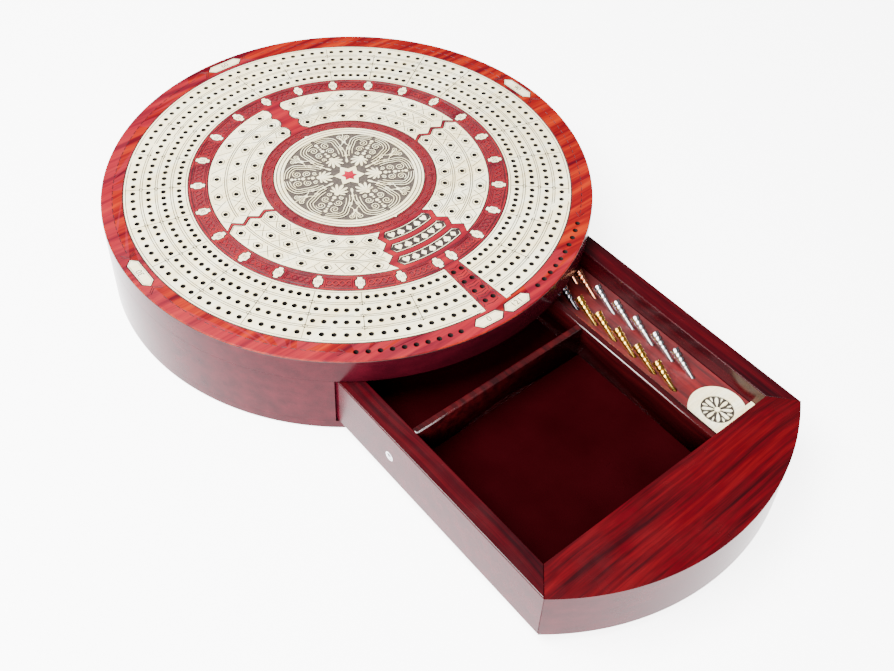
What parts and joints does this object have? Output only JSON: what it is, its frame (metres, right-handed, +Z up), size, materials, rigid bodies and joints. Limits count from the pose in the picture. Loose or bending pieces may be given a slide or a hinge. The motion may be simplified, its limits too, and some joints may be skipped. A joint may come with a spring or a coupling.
{
  "type": "cribbage board",
  "caption": "Round wooden cribbage board with inlaid peg tracks and score fields; a push-through drawer holds two card wells and a rack of metal pegs.",
  "frame": {"origin": "centre of the round body's underside", "axes": "+Z up, the drawer pulls out towards -Y, the peg rack is on the +X side"},
  "size_m": [0.3048, 0.4694, 0.058],
  "materials": {
    "body_wood": "gloss lacquer over dark stained hardwood",
    "bloodwood": "satin oiled bloodwood, laser engraved",
    "maple": "satin maple, laser engraved",
    "burnt_maple": "laser burnt ground with raised pale marks",
    "star": "satin red wood",
    "drawer_wood": "high gloss red lacquer over hardwood",
    "velvet": "dark red velvet",
    "steel": "polished steel",
    "brass": "satin brass",
    "gold_plate": "polished gold plate",
    "silver_plate": "polished silver plate",
    "dark_plate": "polished black nickel plate",
    "copper_plate": "polished copper plate"
  },
  "bodies": {
    "board": {"base_board": "body_wood", "side_block_left": "body_wood", "side_block_right": "body_wood", "top_board": "body_wood", "bloodwood_face": "bloodwood", "track_inlay": "maple", "score_field_rear_right": "maple", "score_field_rear_left": "maple", "score_field_front_right": "maple", "score_field_front_left": "maple", "medallion": "maple", "medallion_star": "star", "number_plaques": "maple", "corner_plaques": "maple", "start_plaque": "maple", "finish_plaque": "maple", "tally_label_inner": "burnt_maple", "tally_label_middle": "burnt_maple", "tally_label_outer": "burnt_maple", "strike_plates": "brass"},
    "drawer": {"drawer_front": "drawer_wood", "drawer_rear": "drawer_wood", "drawer_side_left": "drawer_wood", "drawer_side_right": "drawer_wood", "drawer_floor": "drawer_wood", "cross_divider": "drawer_wood", "long_divider": "drawer_wood", "front_well_lining": "velvet", "rear_well_lining": "velvet", "peg_rack": "drawer_wood", "rosette_plate": "maple", "catch_barrels": "steel", "catch_spring_left": "steel", "catch_spring_right": "steel"},
    "catch_ball_left": {"catch_ball_left": "steel"},
    "catch_ball_right": {"catch_ball_right": "steel"},
    "peg_gold_1": {"peg_gold_1": "gold_plate"},
    "peg_gold_2": {"peg_gold_2": "gold_plate"},
    "peg_gold_3": {"peg_gold_3": "gold_plate"},
    "peg_gold_4": {"peg_gold_4": "gold_plate"},
    "peg_gold_5": {"peg_gold_5": "gold_plate"},
    "peg_dark_1": {"peg_dark_1": "dark_plate"},
    "peg_dark_2": {"peg_dark_2": "dark_plate"},
    "peg_dark_3": {"peg_dark_3": "dark_plate"},
    "peg_dark_4": {"peg_dark_4": "dark_plate"},
    "peg_dark_5": {"peg_dark_5": "dark_plate"},
    "peg_silver_1": {"peg_silver_1": "silver_plate"},
    "peg_silver_2": {"peg_silver_2": "silver_plate"},
    "peg_silver_3": {"peg_silver_3": "silver_plate"},
    "peg_silver_4": {"peg_silver_4": "silver_plate"},
    "peg_silver_5": {"peg_silver_5": "silver_plate"},
    "peg_copper_1": {"peg_copper_1": "copper_plate"},
    "peg_copper_2": {"peg_copper_2": "copper_plate"},
    "peg_copper_3": {"peg_copper_3": "copper_plate"},
    "peg_copper_4": {"peg_copper_4": "copper_plate"},
    "peg_copper_5": {"peg_copper_5": "copper_plate"}
  },
  "joints": [
    {"name": "drawer_slide", "type": "slide", "parent": "board", "child": "drawer", "axis": [0, -1, 0], "range_m": [-0.1646, 0.0254]},
    {"name": "catch_ball_left_press", "type": "slide", "parent": "drawer", "child": "catch_ball_left", "axis": [1, 0, 0], "range_m": [0, 0.0009], "stiffness_N_per_m": 500, "springref_m": -0.002, "deforming": ["catch_spring_left"]},
    {"name": "catch_ball_right_press", "type": "slide", "parent": "drawer", "child": "catch_ball_right", "axis": [-1, 0, 0], "range_m": [0, 0.0009], "stiffness_N_per_m": 500, "springref_m": -0.002, "deforming": ["catch_spring_right"]},
    {"name": "peg_gold_1_lift", "type": "slide", "parent": "drawer", "child": "peg_gold_1", "axis": [0, 0.848, 0.5299], "range_m": [0, 0.0092]},
    {"name": "peg_gold_2_lift", "type": "slide", "parent": "drawer", "child": "peg_gold_2", "axis": [0, 0.848, 0.5299], "range_m": [0, 0.0092]},
    {"name": "peg_gold_3_lift", "type": "slide", "parent": "drawer", "child": "peg_gold_3", "axis": [0, 0.848, 0.5299], "range_m": [0, 0.0092]},
    {"name": "peg_gold_4_lift", "type": "slide", "parent": "drawer", "child": "peg_gold_4", "axis": [0, 0.848, 0.5299], "range_m": [0, 0.0092]},
    {"name": "peg_gold_5_lift", "type": "slide", "parent": "drawer", "child": "peg_gold_5", "axis": [0, 0.848, 0.5299], "range_m": [0, 0.0092]},
    {"name": "peg_dark_1_lift", "type": "slide", "parent": "drawer", "child": "peg_dark_1", "axis": [0, 0.848, 0.5299], "range_m": [0, 0.0025]},
    {"name": "peg_dark_2_lift", "type": "slide", "parent": "drawer", "child": "peg_dark_2", "axis": [0, 0.848, 0.5299], "range_m": [0, 0.0025]},
    {"name": "peg_dark_3_lift", "type": "slide", "parent": "drawer", "child": "peg_dark_3", "axis": [0, 0.848, 0.5299], "range_m": [0, 0.0025]},
    {"name": "peg_dark_4_lift", "type": "slide", "parent": "drawer", "child": "peg_dark_4", "axis": [0, 0.848, 0.5299], "range_m": [0, 0.0025]},
    {"name": "peg_dark_5_lift", "type": "slide", "parent": "drawer", "child": "peg_dark_5", "axis": [0, 0.848, 0.5299], "range_m": [0, 0.0025]},
    {"name": "peg_silver_1_lift", "type": "slide", "parent": "drawer", "child": "peg_silver_1", "axis": [0, 0.848, 0.5299], "range_m": [0, 0.0092]},
    {"name": "peg_silver_2_lift", "type": "slide", "parent": "drawer", "child": "peg_silver_2", "axis": [0, 0.848, 0.5299], "range_m": [0, 0.0092]},
    {"name": "peg_silver_3_lift", "type": "slide", "parent": "drawer", "child": "peg_silver_3", "axis": [0, 0.848, 0.5299], "range_m": [0, 0.0092]},
    {"name": "peg_silver_4_lift", "type": "slide", "parent": "drawer", "child": "peg_silver_4", "axis": [0, 0.848, 0.5299], "range_m": [0, 0.0092]},
    {"name": "peg_silver_5_lift", "type": "slide", "parent": "drawer", "child": "peg_silver_5", "axis": [0, 0.848, 0.5299], "range_m": [0, 0.0092]},
    {"name": "peg_copper_1_lift", "type": "slide", "parent": "drawer", "child": "peg_copper_1", "axis": [0, 0.848, 0.5299], "range_m": [0, 0.0025]},
    {"name": "peg_copper_2_lift", "type": "slide", "parent": "drawer", "child": "peg_copper_2", "axis": [0, 0.848, 0.5299], "range_m": [0, 0.0025]},
    {"name": "peg_copper_3_lift", "type": "slide", "parent": "drawer", "child": "peg_copper_3", "axis": [0, 0.848, 0.5299], "range_m": [0, 0.0025]},
    {"name": "peg_copper_4_lift", "type": "slide", "parent": "drawer", "child": "peg_copper_4", "axis": [0, 0.848, 0.5299], "range_m": [0, 0.0025]},
    {"name": "peg_copper_5_lift", "type": "slide", "parent": "drawer", "child": "peg_copper_5", "axis": [0, 0.848, 0.5299], "range_m": [0, 0.0025]}
  ]
}
